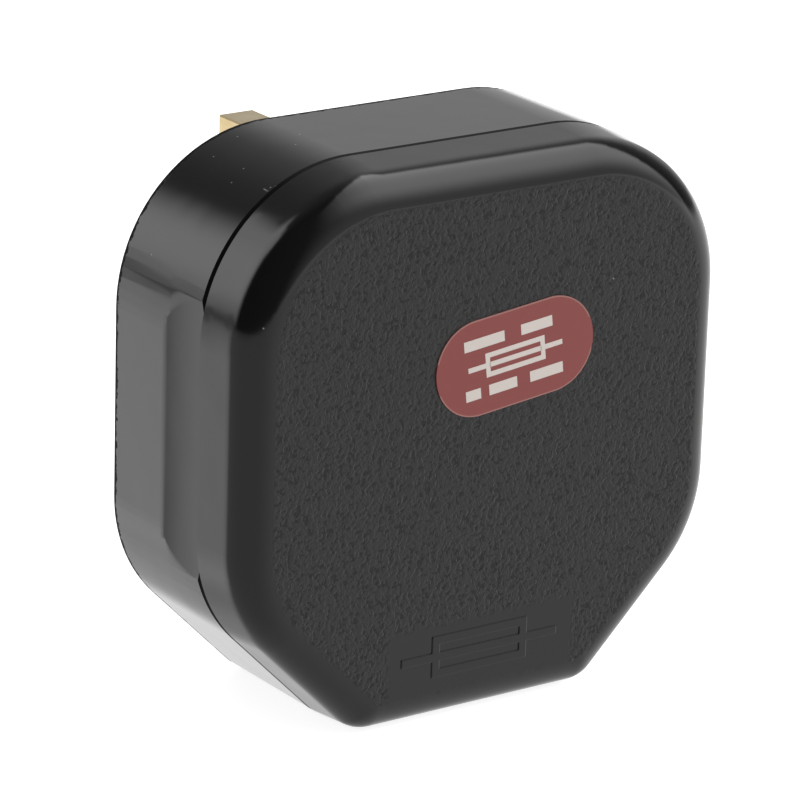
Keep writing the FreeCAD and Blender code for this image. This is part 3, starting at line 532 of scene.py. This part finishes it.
bpy.ops.object.select_all(action="DESELECT")
table_top = (0, 0, cad_box[0][2] - FLOOR_GAP)
bpy.ops.mesh.primitive_plane_add(size=FLOOR_SIZE, location=table_top)
floor = bpy.context.active_object
floor.name = "floor"
floor.visible_glossy = False
material, tree, shader, _ = new_finish("white table")
seen = add(tree, "LightPath", {}).outputs["Is Camera Ray"]
lift = add(tree, "Math", {0: seen, 1: FLOOR_LIFT}, operation="MULTIPLY").outputs[0]
feed(shader, {"Base Color": linear(FLOOR_WHITE), "Roughness": FLOOR_POLISH})
feed(shader, {"Specular IOR Level": 0.0})
feed(shader, {"Emission Color": linear(FLOOR_GLOW), "Emission Strength": lift})
floor.data.materials.append(material)

world = bpy.data.worlds.new("studio")
bpy.context.scene.world = world
world.use_nodes = True
tree = world.node_tree
tree.nodes.clear()
way = add(tree, "TexCoord", {}).outputs["Generated"]
axes = add(tree, "SeparateXYZ", {"Vector": way}).outputs
left = add(tree, "Math", {0: axes["X"], 1: -1.0}, operation="MULTIPLY").outputs[0]
turn = add(tree, "Math", {0: left, 1: axes["Y"]}, operation="ARCTAN2").outputs[0]
rise = add(tree, "Math", {0: axes["Z"]}, operation="ARCSINE").outputs[0]


def fade(value, none, full, dark=0.0, light=1.0):
    """A light that grows softly from dark to light between two limits of a value."""
    limits = {"Value": value, "From Min": none, "From Max": full, "To Min": dark, "To Max": light}
    return add(tree, "MapRange", limits, interpolation_type="SMOOTHSTEP").outputs[0]


def combine(kind, first, *others):
    """Chains one arithmetic operation over several values."""
    for other in others:
        first = add(tree, "Math", {0: first, 1: other}, operation=kind).outputs[0]
    return first


def disc(bearing, elevation, inner, outer, level):
    """A round soft light: bearing (left of straight behind), elevation and radii, in degrees."""
    side, height = radians(bearing), radians(elevation)
    middle = Vector((-sin(side) * cos(height), cos(side) * cos(height), sin(height)))
    towards = add(tree, "VectorMath", {0: way, 1: middle}, operation="DOT_PRODUCT")
    rims = cos(radians(outer)), cos(radians(inner))
    return fade(towards.outputs["Value"], *rims, light=level)


def panel(sides, ends, level):
    """A soft square light; its bearings and elevations give no, full, full and no light."""
    limits = []
    for value, (start, whole, still, end) in ((turn, sides), (rise, ends)):
        limits.append(fade(value, radians(start), radians(whole)))
        limits.append(fade(value, radians(end), radians(still)))
    return combine("MULTIPLY", *limits, level)


room = fade(rise, *map(radians, ROOM_EDGE))
below = fade(rise, *map(radians, TABLE_EDGE))
dim_foot = fade(rise, *map(radians, WINDOW_FOOT), dark=WINDOW_FOOT_LEVEL)
window = combine("ADD", combine("MULTIPLY", panel(*WINDOW), dim_foot), disc(*WINDOW_MIDDLE))
spread = fade(axes["X"], *TABLE_SPREAD)
table = combine("ADD", spread, disc(*TABLE_MIDDLE), disc(*TABLE_RIGHT), disc(*TABLE_NEAR))
table = combine("ADD", combine("MULTIPLY", table, below), panel(*TABLE_SHINE))
flaps = [fade(axes["X"], *SOFTBOX_LEFT)]
for slope, start, soft in SOFTBOX_FLAPS:
    edge = {0: axes["X"], 1: slope, 2: start}
    edge = add(tree, "Math", edge, operation="MULTIPLY_ADD").outputs[0]
    flaps.append(fade(combine("SUBTRACT", edge, axes["Y"]), -soft, soft))
softbox = combine("MULTIPLY", combine("ADD", disc(*SOFTBOX), ROOM_RIGHT), room, *flaps)
wall = [disc(*numbers) for numbers in WALL]
glossy = combine("ADD", table, window, softbox, *wall)
path = add(tree, "LightPath", {}).outputs
shown = {"Value": path["Is Camera Ray"], "To Min": FILL, "To Max": 1.0}
plain = add(tree, "MapRange", shown).outputs[0]
level = add(tree, "Mix", {0: path["Is Glossy Ray"], 2: plain, 3: glossy}).outputs[0]
sky = add(tree, "Background", {"Strength": level}).outputs[0]
add(tree, "OutputWorld", {"Surface": sky})

lamp = bpy.data.objects.new("key softbox", bpy.data.lights.new("key softbox", "AREA"))
bpy.context.scene.collection.objects.link(lamp)
lamp.data.size = LAMP_SIZE
lamp.data.energy = LAMP_POWER
lamp.location = LAMP_PLACE
lamp.rotation_euler = lamp.location.to_track_quat("Z", "Y").to_euler()
lamp.visible_glossy = False


# Camera: a long lens to the left of the plug and a little above it, turned a little on its axis.
# Its place, aim and lens are those that fit the outline in the photograph.

AZIMUTH = radians(-35.24)
ELEVATION = radians(18.674)
ROLL = radians(1.758)
DISTANCE = 448.882 * MM
TARGET = Vector((-2.651, -11.0, 6.395)) * MM
LENS = 213.4
SENSOR = 36.0

flat = cos(ELEVATION)
back = Vector((sin(AZIMUTH) * flat, -cos(AZIMUTH) * flat, sin(ELEVATION)))
right = (-back).cross(Vector((0, 0, 1))).normalized()
up = right.cross(-back)
across = right * cos(ROLL) + up * sin(ROLL)
upward = up * cos(ROLL) - right * sin(ROLL)
turned = Matrix((across, upward, back)).transposed().to_4x4()
camera = bpy.data.objects.new("camera", bpy.data.cameras.new("camera"))
bpy.context.scene.collection.objects.link(camera)
camera.data.lens = LENS
camera.data.sensor_width = SENSOR
camera.matrix_world = Matrix.Translation(TARGET + back * DISTANCE) @ turned
bpy.context.scene.camera = camera
bpy.context.scene.view_settings.view_transform = "Standard"
